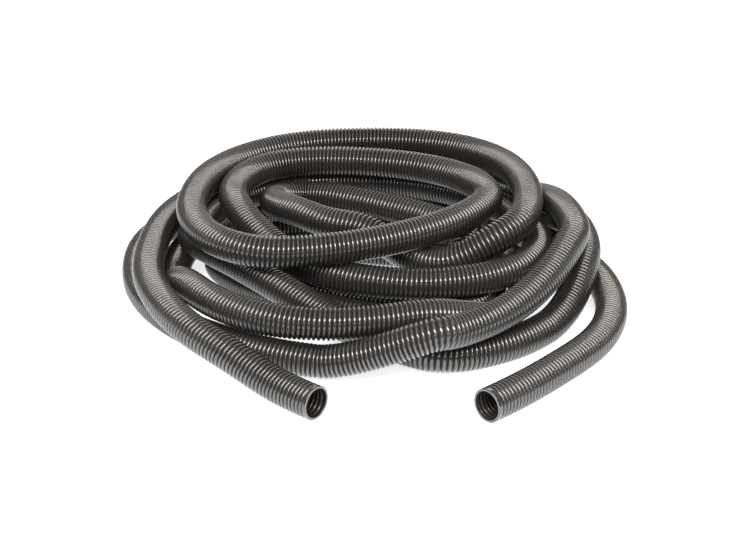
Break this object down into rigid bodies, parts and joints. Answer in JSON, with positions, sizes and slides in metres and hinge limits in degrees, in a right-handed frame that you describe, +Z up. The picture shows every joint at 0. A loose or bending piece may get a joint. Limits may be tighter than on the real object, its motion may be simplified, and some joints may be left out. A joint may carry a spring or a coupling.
{
  "type": "ribbed vacuum hose",
  "caption": "Dark ribbed flexible suction hose lying in a loose coil, with an open plain-cut end at each side of the front; it carries air and dust to a vacuum.",
  "frame": {"origin": "centre of the bounding box's bottom face, on the floor that the coil lies on", "axes": "+Z is up; -Y is the front, where both open ends lie; +X is to the right seen from the front"},
  "size_m": [0.7456, 0.8074, 0.1432],
  "materials": {
    "hose_wall": "semi-gloss, dark warm charcoal"
  },
  "bodies": {
    "root": {"free_end_right": "hose_wall", "lap_1": "hose_wall", "lap_2": "hose_wall", "lap_3": "hose_wall", "lap_4": "hose_wall", "lap_5": "hose_wall", "lap_6": "hose_wall", "lap_7": "hose_wall", "lap_8": "hose_wall", "lap_9": "hose_wall", "lap_10": "hose_wall", "free_end_left": "hose_wall"}
  },
  "joints": []
}
